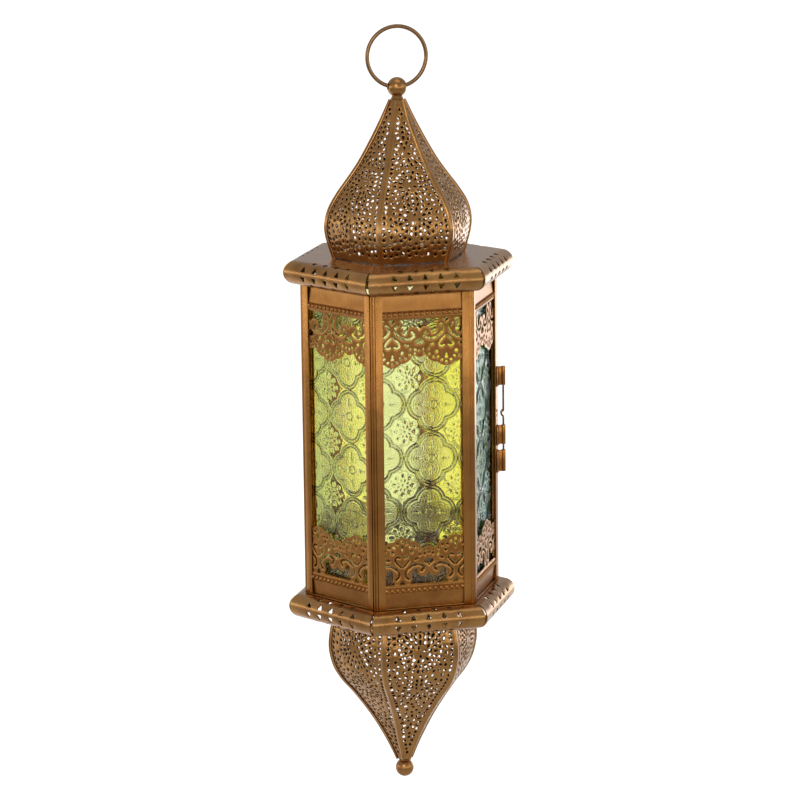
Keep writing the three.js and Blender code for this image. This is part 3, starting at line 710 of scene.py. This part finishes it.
lace = {
    "depth": 1.1, "railDepth": 2.3, "rail": 11.0, "band": 16.6, "pitch": 40.4, "halfWidth": 31.3,
    "beadPitch": 4.1, "beadRadius": 1.6, "beadLine": 13.1, "domed": 0.3,
    "step": 0.35, "seatFrom": 11.6, "seatTo": 14.4, "seat": 0.05, "swell": 0.5,
    "upper": [6, -15, 11, -8, -22.4, 15], "lower": [-11, 9, -3, 17, -16.8, 4],
    # the scalloped edge, from the middle of a large lobe to the middle of the next small one
    "edge": [(0, 35.8), (2.6, 35.4), (4.8, 34.2), (6.4, 32.9), (8.2, 32.9), (10.2, 32.2), (12.2, 31.0),
             (13.8, 29.2), (15.2, 26.9), (16.8, 27.3), (18.4, 28.2), (20.2, 28.6)],
    "slots": [([(4.7, 4.4), (2.7, 6.2), (2.3, 8.6), (3.2, 10.9), (5.2, 12.8), (8.2, 14.6), (11.2, 15.3),
                (14.2, 14.6), (16.9, 12.9)], 1.6),
              ([(0.8, 13.7), (3.2, 15.9), (5.1, 18.4), (5.0, 20.6), (3.3, 21.5), (1.5, 20.7)], 1.25),
              ([(14.4, 10.2), (15.6, 11.4), (16.2, 12.0)], 2.0)],
    "cuts": [[(6.0, 0.8), (7.4, 3.2), (7.0, 6.4), (7.0, 9.4), (8.5, 11.7), (10.6, 12.2), (11.4, 10.4),
              (11.9, 8.2), (13.6, 6.5), (16.0, 6.0), (18.4, 6.7), (19.6, 8.1), (20.2, 9.0), (20.8, 8.1),
              (22.0, 6.7), (24.4, 6.0), (26.8, 6.5), (28.5, 8.2), (29.0, 10.4), (29.8, 12.2),
              (31.9, 11.7), (33.4, 9.4), (33.4, 6.4), (33.0, 3.2), (34.4, 0.8), (20.2, 0.5)],
             [(16.6, 18.2), (17.0, 16.2), (18.9, 15.3), (20.2, 13.9), (21.5, 15.3), (23.4, 16.2),
              (23.8, 18.2), (21.6, 19.2), (18.8, 19.2)],
             [(-2.3, 0.5), (2.3, 0.5), (0.6, 3.5), (-0.6, 3.5)],
             [(-1.1, 28.8), (1.1, 28.8), (0.9, 30.1), (-0.9, 30.1)],
             [(-1.1, 29.0), (0, 25.8), (1.1, 29.0)]],
    # u, v, turn, length and width of the round holes
    "dots": [(10.7, 19.5, 1.2, 3.6, 1.9), (7.4, 25.0, 0, 2.6, 2.5), (13.3, 22.5, 0.4, 2.0, 1.8),
             (17.1, 22.9, 0, 2.1, 1.9), (12.9, 26.5, 0.5, 2.0, 1.9), (9.7, 28.8, 0.4, 2.1, 2.0),
             (6.1, 28.9, 0.9, 2.4, 1.5), (3.4, 31.5, 1.0, 2.2, 1.7), (16.9, 25.6, 0, 1.5, 1.4)],
    "middleDots": [(0, 32.9, 0, 2.0, 1.9), (20.2, 23.8, 0, 2.0, 1.8)]}


def laceBorder(name, shift, mirror):
    # u along the border, v up from the foot of the rail
    pitch, band, half = lace["pitch"], lace["band"], lace["halfWidth"]
    edge = smoothPath(lace["edge"], 3)
    wave = [(-u, v) for u, v in reversed(edge[1:])] + edge
    repeats = [shift + k * pitch for k in (-2, -1, 0, 1, 2)]
    scallops = sorted((c + u, band + v) for c in repeats for u, v in wave[:-1])
    between = [p for p in scallops if abs(p[0]) < half - 0.2]
    before = [p for p in scallops if p[0] <= -half + 0.2][-1]
    after = [p for p in scallops if p[0] >= half - 0.2][0]
    feet = [(half * (i / 8 - 1), 0.0) for i in range(17)]
    outline = feet + [(half, after[1])] + between[::-1] + [(-half, before[1])]
    holes = []
    for c in repeats:
        for side in (1, -1):
            for path, width in lace["slots"]:
                holes.append([(c + side * u, band + v) for u, v in slotAlong(path, width)])
            for u, v, turn, long, wide in lace["dots"]:
                holes.append([(c + side * x, band + y) for x, y in petal(u, v, turn, long, wide)])
        for cut in lace["cuts"]:
            holes.append([(c + x, band + y) for x, y in smoothPath(cut + cut[:1], 2)[:-1]])
        for u, v, turn, long, wide in lace["middleDots"]:
            holes.append([(c + x, band + y) for x, y in petal(u, v, turn, long, wide)])
    holes = [h for h in holes if min(abs(p[0]) for p in h) < half + 1]
    rows = [3.0, 7.0, 10.5, 10.9, 11.3, 11.7, 12.1, 14.2, 14.6, 15.0, 15.5, 16.0, 16.3]
    grid = [(half * k / 20, v) for v in rows for k in range(-19, 20)]
    v = band + 0.4
    while v < band + 36:
        grid += [(half * k / 60, v) for k in range(-59, 60)]
        v += 0.95
    edgeLine = [(c + u, band + w) for c in repeats for u, w in wave]
    grid = clearOf(grid, holes + [edgeLine], 0.38)

    def lift(v):
        # the rail leans back, a fine step, the seat of the beads, then a rounded band
        if v < lace["rail"]:
            return -(lace["railDepth"] - lace["depth"]) * (1 - v / lace["rail"])
        if v < lace["seatFrom"]:
            return lace["step"]
        if v < lace["seatTo"]:
            return lace["seat"]
        if v < band:
            share = (v - lace["seatTo"]) / (band - lace["seatTo"])
            return lace["seat"] + lace["swell"] * math.sin(math.pi * share)
        return 0.0

    def bend(u, v, onRim):
        x = lantern["face"] - lace["depth"] + lift(v) - (lace["domed"] if onRim and v > band else 0)
        return (x, u, -v if mirror else v)

    sheet = cutSheet(name, outline, holes, grid, bend, flip=mirror)
    modify(sheet, "SOLIDIFY", thickness=lantern["sheet"] * 0.9, offset=-1)
    # beads, pressed from one half ball
    bpy.ops.object.select_all(action="DESELECT")
    bpy.ops.mesh.primitive_uv_sphere_add(segments=12, ring_count=8, radius=lace["beadRadius"],
                                         location=(0, 0, 0))
    bead = bpy.context.object
    bpy.ops.object.mode_set(mode="EDIT")
    bpy.ops.mesh.bisect(plane_co=(-0.2, 0, 0), plane_no=(1, 0, 0), clear_inner=True)
    bpy.ops.object.mode_set(mode="OBJECT")
    beads = []
    u = -half + 2.4
    while u < half - 1.6:
        twin = turnedCopy(bead, name + "_bead", 0)
        twin.data.transform(Matrix.Translation((lantern["face"] - lace["depth"] + 0.05, u,
                                                -lace["beadLine"] if mirror else lace["beadLine"])))
        beads.append(twin)
        u += lace["beadPitch"]
    bpy.data.objects.remove(bead)
    return joinPieces(name, [sheet] + beads)


for i, side in enumerate(sideNames):
    low, high = openingOf(side)
    for level, mirror, height in (("upper", True, high), ("lower", False, low)):
        border = laceBorder(f"lace_{level}_{side}_fine", lace[level][i], mirror)
        border.data.transform(aroundSide(i) @ Matrix.Translation((0, 0, height)))
        settle(border, 38)
        node = f"door_lace_{level}" if side == doorSide else f"lace_{level}_{side}"
        dress(border, bodyOf(side), "light_gold", laceGold, node)
print("lace done:", len(border.data.polygons), "faces in the last one")


# embossed panes

pane = {
    "depth": 3.4, "thick": 1.8, "fit": 1.27, "step": 0.5,
    "cell": 40.0, "lobeReach": 8.35, "lobeRadius": 9.0, "line": 0.50, "rise": 0.72,
    # where the painted shade of the grooves starts and how fast it grows, by the relief's slope
    "slopeStep": 0.22, "grooveShadeFrom": 0.36, "grooveShadeGain": 2.6, "grooveShadeMost": 0.97,
    # the middle of one quatrefoil and the turn of the pattern in each pane
    "places": {"rear_right": (4.0, 118.0, -1.5), "rear": (-6.0, 104.0, 1.0),
               "rear_left": (9.0, 126.0, -2.0), "left": (11.3, 101.5, 2.8),
               "front": (6.4, 111.5, -3.0), "right": (-3.0, 98.0, 1.5)},
    "tints": {"rear_right": (1.0, 0.93, 0.12), "rear": (0.95, 0.99, 0.52),
              "rear_left": (0.74, 0.90, 0.72), "left": (1.0, 0.96, 0.32),
              "front": (0.97, 1.0, 0.66), "right": (0.07, 0.30, 0.24)}}


# places, heights and widths of the pattern's lines, in millimetres
relief = {
    "second": 2.0, "secondShare": 0.8, "lobe": -0.9, "ringHeight": 0.06, "ringPitch": 1.85,
    "star": 4.4, "starHollow": 0.5, "starHeight": 0.42, "starWidth": 0.55,
    "barFrom": 5.8, "barTo": 13.5, "barHeight": 0.45, "barWidth": 0.5,
    "collar": 8.6, "collarHeight": 0.3, "collarWidth": 0.7, "collarReach": 1.6,
    "rosette": 10.5, "rosetteGap": 2.6, "spokes": 4,
    "petals": (7.0, 0.65, 1.6), "leaves": (3.8, 0.5, 1.3), "bud": (0, 0.4, 1.1)}


def crest(distance, height, width):
    return height * math.exp(-(distance / width) ** 2)


def embossing(u, v):
    # height of the pattern in millimetres and how stippled the glass is there
    cell, reach = pane["cell"], pane["lobeReach"]
    x, y = abs((u + cell / 2) % cell - cell / 2), abs((v + cell / 2) % cell - cell / 2)
    outside = min(math.hypot(x - reach, y), math.hypot(x, y - reach)) - pane["lobeRadius"]
    height = crest(outside, pane["rise"], pane["line"])
    height += crest(outside - relief["second"], relief["secondShare"] * pane["rise"], pane["line"])
    inLobes = outside < relief["lobe"]
    if inLobes:
        # fine rings follow the lobes
        turns = (outside - relief["lobe"]) / relief["ringPitch"]
        height += relief["ringHeight"] * math.cos(2 * math.pi * turns) - relief["ringHeight"]
        star = x + y + relief["starHollow"] * abs(x - y) - relief["star"]  # a star with hollow sides
        height += crest(star, relief["starHeight"], relief["starWidth"])
        for along, across in ((y, x), (x, y)):
            if relief["barFrom"] < along < relief["barTo"]:
                share = (along - relief["barFrom"]) / (relief["barTo"] - relief["barFrom"])
                bar = crest(across, relief["barHeight"], relief["barWidth"])
                height += bar * math.sin(math.pi * share) ** 0.5
        if min(x, y) < relief["collarReach"]:
            far = math.hypot(x, y) - relief["collar"]
            height += crest(far, relief["collarHeight"], relief["collarWidth"])
    else:
        # the rosette in the space between four quatrefoils
        c, d = cell / 2 - x, cell / 2 - y
        r, angle = math.hypot(c, d), math.atan2(d, c)
        if r < relief["rosette"] and outside > relief["rosetteGap"]:
            spoke = abs(math.cos(relief["spokes"] * angle))
            for key, share in (("petals", spoke ** 4), ("leaves", (1 - spoke) ** 1.5), ("bud", 1)):
                place, rise, width = relief[key]
                height += crest(r - place, rise, width) * share
    return height, (1.0 if inLobes else 0.0)


def glassPane(name, low, high, place):
    front = lantern["stileEdge"] - pane["depth"] * tan30 - pane["fit"]
    rear = lantern["stileEdge"] - (pane["depth"] + pane["thick"]) * tan30 - pane["fit"]
    columns, rows = round(2 * front / pane["step"]), round((high - low) / pane["step"])
    bpy.ops.object.select_all(action="DESELECT")
    bpy.ops.mesh.primitive_grid_add(x_subdivisions=columns, y_subdivisions=rows, size=1)
    obj = bpy.context.object
    obj.name = obj.data.name = name
    centreU, centreV, turn = place[0], place[1], math.radians(place[2])
    marks, grooveShading, reach = [], [], pane["slopeStep"]
    for vertex in obj.data.vertices:
        u, z = vertex.co.x * 2 * front, low + (vertex.co.y + 0.5) * (high - low)
        du, dv = u - centreU, z - centreV
        a, b = du * math.cos(turn) + dv * math.sin(turn), dv * math.cos(turn) - du * math.sin(turn)
        height, mark = embossing(a, b)
        # the slope sets how much painted shade the glass gets at this point
        slope = math.hypot(embossing(a + reach, b)[0] - height,
                           embossing(a, b + reach)[0] - height) / reach
        grooveShading.append(min(pane["grooveShadeMost"], max(0, slope - pane["grooveShadeFrom"]) * pane["grooveShadeGain"]))
        border = min(front - abs(u), z - low, high - z)
        height *= min(1, max(0, (border - 1.5) / 1.5))
        vertex.co = (lantern["face"] - pane["depth"] + height - 0.1, u, z)
        marks.append(mark)
    # the edge is drawn back and the rear closed with one flat face
    pick(obj)
    bpy.ops.object.mode_set(mode="EDIT")
    bpy.ops.mesh.select_all(action="SELECT")
    bpy.ops.mesh.region_to_loop()
    bpy.ops.mesh.extrude_edges_move(TRANSFORM_OT_translate={"value": (-pane["thick"], 0, 0)})
    bpy.ops.transform.resize(value=(1, rear / front, 1), center_override=(0, 0, 0))
    bpy.ops.mesh.edge_face_add()
    bpy.ops.mesh.select_all(action="SELECT")
    bpy.ops.mesh.normals_make_consistent(inside=False)
    bpy.ops.object.mode_set(mode="OBJECT")
    for label, values in (("stipple", marks), ("grooveShade", grooveShading)):
        layer = obj.data.attributes.new(label, "FLOAT", "POINT")
        values += [0.0] * (len(obj.data.vertices) - len(values))
        layer.data.foreach_set("value", values)
    return obj


for i, side in enumerate(sideNames):
    glass = glassPane("pane_" + side, *openingOf(side), pane["places"][side])
    glass.data.transform(aroundSide(i))
    settle(glass, 48)
    node = "door_glass" if side == doorSide else "glass_" + side  # its finish has the same name
    dress(glass, bodyOf(side), node, embossedGlass("glass_" + side, pane["tints"][side]), node)
print("panes done:", len(glass.data.polygons), "faces each")


# turned pieces

def turned(name, profile, segments):
    # a profile of (radius, height) spun about the upright axis
    points = [(r, 0, z) for r, z in profile]
    obj = newPiece(name, points, [])
    obj.data.edges.add(len(points) - 1)
    for i in range(len(points) - 1):
        obj.data.edges[i].vertices = (i, i + 1)
    bpy.ops.object.mode_set(mode="EDIT")
    bpy.ops.mesh.select_all(action="SELECT")
    bpy.ops.mesh.spin(steps=segments, angle=2 * math.pi, center=(0, 0, 0), axis=(0, 0, 1))
    bpy.ops.object.mode_set(mode="OBJECT")
    return mergeDoubles(obj, 0.002, outward=True)


finial = {
    "tip": 366.5, "low": -135.0, "neck": 3.6, "seat": 0.3, "bore": 376.3, "boreRadius": 2.6,
    "stem": [(0, -10), (3.0, -10), (3.4, -9.6), (3.4, 0.3), (4.2, 0.3), (4.6, 0.55), (4.6, 0.9)],
    # radius of the ball and height of its collar
    "top": (7.3, 2.45), "bottom": (6.9, 1.3), "segments": 56}


def finialProfile(radius, collar):
    neck, seat = finial["neck"], finial["seat"]
    centre = seat + collar + math.sqrt(radius ** 2 - neck ** 2)
    profile = finial["stem"] + [(4.35, 1.15), (3.75, seat + collar - 0.25), (neck, seat + collar)]
    start = math.asin(neck / radius) - math.pi / 2
    for k in range(1, 25):
        angle = start + (math.pi / 2 - start) * k / 24
        profile.append((radius * math.cos(angle) if k < 24 else 0, centre + radius * math.sin(angle)))
    return profile


topBall = turned("ball_top", finialProfile(*finial["top"]), finial["segments"])
topBall.data.transform(Matrix.Translation((0, 0, finial["tip"])))
bpy.ops.object.select_all(action="DESELECT")
bpy.ops.mesh.primitive_cylinder_add(vertices=28, radius=finial["boreRadius"], depth=40,
                                    location=(0, 0, finial["bore"]), rotation=(0, math.pi / 2, 0))
drill = bpy.context.object
modify(topBall, "BOOLEAN", object=drill, operation="DIFFERENCE", solver="EXACT")
bpy.data.objects.remove(drill)
modify(topBall, "BEVEL", width=0.25, segments=2, limit_method="ANGLE", angle_limit=math.radians(50))
dress(settle(topBall), "lantern", "gold", agedGold, "top_ball")

lowBall = turned("ball_bottom", finialProfile(*finial["bottom"]), finial["segments"])
lowBall.data.transform(Matrix.Translation((0, 0, finial["low"])) @ Matrix.Rotation(math.pi, 4, "X"))
dress(settle(lowBall), "lantern", "gold", agedGold, "bottom_ball")

ring = {"radius": 22.1, "wire": 1.5, "height": 397.8, "joint": -62}
bpy.ops.object.select_all(action="DESELECT")
bpy.ops.mesh.primitive_torus_add(major_radius=ring["radius"], minor_radius=ring["wire"],
                                 major_segments=120, minor_segments=16,
                                 rotation=(math.pi / 2, 0, 0), location=(0, 0, ring["height"]))
hoop = bpy.context.object
hoop.name = "hoop"
bpy.ops.object.transform_apply(location=True, rotation=True)
# the butt joint of the wire, with a faint brazed swelling
for vertex in hoop.data.vertices:
    angle = math.degrees(math.atan2(vertex.co.z - ring["height"], vertex.co.x))
    off = angle - ring["joint"]
    middle = Vector((ring["radius"] * math.cos(math.radians(angle)), 0,
                     ring["height"] + ring["radius"] * math.sin(math.radians(angle))))
    swell = 1 + 0.12 * math.exp(-(off / 2.0) ** 2) - 0.2 * math.exp(-(off / 0.9) ** 2)
    vertex.co = middle + (vertex.co - middle) * swell
dress(settle(hoop, 60), "ring", "wire", wireGold, "hanging_ring")

cup = {"segments": 64, "profile": [
    (0, 0.3), (18.6, 0.3), (19.9, 0.7), (20.6, 1.4), (20.8, 2.4), (20.8, 11.4), (20.95, 11.7),
    (20.9, 12.05), (20.6, 12.3), (20.2, 12.15), (20.0, 11.7), (20.0, 2.6), (19.8, 1.8), (19.2, 1.3),
    (18.2, 1.1), (0, 1.1)]}
holder = turned("cup", cup["profile"], cup["segments"])
dress(settle(holder), "lantern", "light_gold", laceGold, "candle_cup")
print("turned pieces done")


# latch and hinges

for node in ("latch_keeper", "latch_guide_upper", "latch_guide_lower"):
    body = "lantern" if node == "latch_keeper" else "door"
    dress(easedCopy(node + "_fine", node, 0.12), body, "gold", gold, node)
for k in (1, 2):
    for kind, body in (("door", "door"), ("frame", "lantern")):
        node = f"hinge_{kind}_leaf_{k}"
        dress(easedCopy(f"hinge_{kind}_{k}", node, 0.15), body, "gold", gold, node)

pin = {
    "line": 77.9, "turn": 60, "lows": [38, 186], "length": 16.6, "segments": 20,
    "foot": [(0, -0.6), (0.75, -0.6), (1.0, -0.3)],
    "head": [(1.0, 0), (1.55, 0), (1.7, 0.15), (1.6, 0.5), (1.1, 0.75), (0, 0.8)]}
for k, low in enumerate(pin["lows"]):
    head = low + pin["length"]
    profile = [(r, low + z) for r, z in pin["foot"]] + [(r, head + z) for r, z in pin["head"]]
    rod = turned(f"pin_{k + 1}", profile, pin["segments"])
    turn = math.radians(pin["turn"])
    axis = (pin["line"] * math.cos(turn), pin["line"] * math.sin(turn), 0)
    rod.data.transform(Matrix.Translation(axis))
    dress(settle(rod), "lantern", "wire", wireGold, f"hinge_pin_{k + 1}")

bolt = {"line": 79.4, "foot": 84.0, "tip": 148.5, "middle": 126.8, "reach": 6.0, "rise": 1.8,
        "radius": 0.8}
reach, rise, middle = bolt["reach"], bolt["rise"], bolt["middle"]
half = [(reach, 0), (reach - rise, rise), (rise, rise), (rise / 6, 1.4 * rise), (0, 2.2 * rise)]
thumb = [(y, -z) for y, z in reversed(half[1:])] + half
stops = [(0, bolt["foot"]), (0, (bolt["foot"] + middle) / 2), (0, middle - 6 * rise)]
stops += [(y, middle + z) for y, z in thumb] + [(0, middle + 5 * rise), (0, bolt["tip"])]
wirePath = smoothPath(stops, 8)
curve = bpy.data.curves.new("bolt", "CURVE")
curve.dimensions = "3D"
curve.bevel_depth = bolt["radius"]
curve.bevel_resolution = 4
curve.use_fill_caps = True
spline = curve.splines.new("POLY")
spline.points.add(len(wirePath) - 1)
for point, (y, z) in zip(spline.points, wirePath):
    point.co = (bolt["line"], y, z, 1)
rod = bpy.data.objects.new("bolt_wire", curve)
bpy.context.scene.collection.objects.link(rod)
pick(rod)
bpy.ops.object.convert(target="MESH")
rod = bpy.context.object
mergeDoubles(rod, 0.001, outward=True)
dress(settle(rod, 50), "bolt", "wire", wireGold, "latch_bolt")
print("latch and hinges done")


# floor, world and lamps

studio = {
    "floor": -0.80, "size": 60.0, "middle": -0.28, "ambient": 0.45, "floorShown": 0.75,
    # brightness by the height of the direction, in front of the lantern and behind it; 1 is white
    "front": [(-1.0, 0.60), (-0.45, 0.48), (-0.30, 0.27), (-0.20, 0.45), (-0.13, 0.41), (-0.03, 0.43),
              (0.04, 1.0), (0.12, 1.0), (0.20, 0.60), (0.5, 0.48), (1.0, 0.45)],
    "rear": [(-1.0, 1.0), (-0.3, 1.0), (-0.12, 1.0), (-0.05, 1.0), (0.02, 0.40), (0.5, 0.32),
             (1.0, 0.45)],
    "rearFrom": 0.2, "rearFull": 0.55,
    # place, size and power of each lamp; the strips make the rolls, the dome and the right side shine
    "lamps": {"keyLamp": ((-1.1, -2.2, 0.9), (1.1, 0.9), 10),
              "fillLamp": ((2.0, -1.4, 0.3), (1.2, 1.6), 4),
              "topLamp": ((0.1, -0.2, 1.7), (1.2, 1.2), 4)},
    "strips": {"frontStrip": ((0.3, -3.0, -0.04), (4.6, 0.3), 9),
               "leftStrip": ((-2.9, 0.75, -0.04), (2.6, 0.3), 5),
               "rimStrip": ((1.45, 1.45, -0.50), (1.5, 0.5), 4)},
    "inner": {"height": -0.30, "power": 0.03, "size": 0.03, "color": (1.0, 0.93, 0.78)}}
bpy.ops.object.select_all(action="DESELECT")
bpy.ops.mesh.primitive_plane_add(size=studio["size"], location=(0, 0, studio["floor"]))
floor = bpy.context.object
floor.name = "floor"
material, tree, shader = blankMaterial("paleFloor")
shader.inputs["Base Color"].default_value = (0.86, 0.86, 0.86, 1)
shader.inputs["Roughness"].default_value = 0.9


def roomGlow(tree, direction):
    # what metal sees of the room: a white band at eye level, and white behind the lantern
    parts = addNode(tree, "ShaderNodeSeparateXYZ")
    tree.links.new(direction, parts.inputs["Vector"])
    height = addNode(tree, "ShaderNodeMapRange", From_Min=-1.0)
    tree.links.new(parts.outputs["Z"], height.inputs["Value"])
    rear = addNode(tree, "ShaderNodeMapRange", interpolation_type="SMOOTHSTEP",
                   From_Min=studio["rearFrom"], From_Max=studio["rearFull"])
    tree.links.new(parts.outputs["Y"], rear.inputs["Value"])
    bands = [ramp(tree, height.outputs["Result"],
                  [((z + 1) / 2, (level, level, level, 1)) for z, level in studio[key]])
             for key in ("front", "rear")]
    return mixColors(tree, rear.outputs["Result"], *bands)


def shownWhite(tree, path):
    return workOut(tree, "MAXIMUM", path.outputs["Is Camera Ray"], path.outputs["Is Transmission Ray"])


def whiteLight(tree, strength):
    node = addNode(tree, "ShaderNodeEmission", Color=(1, 1, 1, 1))
    feed(tree, strength, node.inputs["Strength"])
    return node.outputs["Emission"]


path = addNode(tree, "ShaderNodeLightPath")
# the direction of a place on the floor, taken from the lantern's middle
place = addNode(tree, "ShaderNodeTexCoord")
lower = addNode(tree, "ShaderNodeVectorMath", operation="ADD")
lower.inputs[1].default_value = (0, 0, studio["floor"] - studio["middle"])
aimed = addNode(tree, "ShaderNodeVectorMath", operation="NORMALIZE")
tree.links.new(place.outputs["Object"], lower.inputs[0])
tree.links.new(lower.outputs["Vector"], aimed.inputs[0])
shine = whiteLight(tree, workOut(tree, "MULTIPLY", shownWhite(tree, path), studio["floorShown"]))
both = addNode(tree, "ShaderNodeAddShader")
tree.links.new(shader.outputs["BSDF"], both.inputs[0])
tree.links.new(shine, both.inputs[1])
mirrored = whiteLight(tree, roomGlow(tree, aimed.outputs["Vector"]))
seen = mixShaders(tree, path.outputs["Is Glossy Ray"], both.outputs["Shader"], mirrored)
# through the panes the floor is plain white
seen = mixShaders(tree, path.outputs["Is Transmission Ray"], seen, whiteLight(tree, 1.0))
tree.links.new(seen, tree.nodes["Material Output"].inputs["Surface"])
floor.data.materials.append(material)

world = bpy.data.worlds.new("softRoom")
world.use_nodes = True
bpy.context.scene.world = world
tree = world.node_tree
background = tree.nodes["Background"]
background.inputs["Color"].default_value = (1, 1, 1, 1)
path = addNode(tree, "ShaderNodeLightPath")
place = addNode(tree, "ShaderNodeTexCoord")
glow = roomGlow(tree, place.outputs["Generated"])
glow = workOut(tree, "MULTIPLY", glow, path.outputs["Is Glossy Ray"])
white = workOut(tree, "MAXIMUM", shownWhite(tree, path), glow)
level = workOut(tree, "MAXIMUM", white, studio["ambient"])
tree.links.new(level, background.inputs["Strength"])


def softLamp(name, place, size, power):
    bpy.ops.object.light_add(type="AREA", location=place)
    lamp = bpy.context.object
    lamp.name = name
    lamp.data.shape = "RECTANGLE"
    lamp.data.size, lamp.data.size_y = size
    lamp.data.energy = power
    lamp.rotation_mode = "QUATERNION"
    aim = Vector((0, 0, studio["middle"])) - Vector(place)
    lamp.rotation_quaternion = aim.to_track_quat("-Z", "Y")
    return lamp


for name, (place, size, power) in studio["lamps"].items():
    softLamp(name, place, size, power)
for name, (place, size, power) in studio["strips"].items():
    strip = softLamp(name, place, size, power)
    strip.visible_camera = strip.visible_transmission = False
# a faint lamp lightens the inner sides of the metal
inner = studio["inner"]
bpy.ops.object.light_add(type="POINT", location=(0, 0, inner["height"]))
glowLamp = bpy.context.object
glowLamp.name = "insideGlow"
glowLamp.data.energy = inner["power"]
glowLamp.data.shadow_soft_size = inner["size"]
glowLamp.data.color = inner["color"]
glowLamp.visible_transmission = False
print("room lit")

scene = bpy.context.scene
scene.view_settings.view_transform = "Standard"
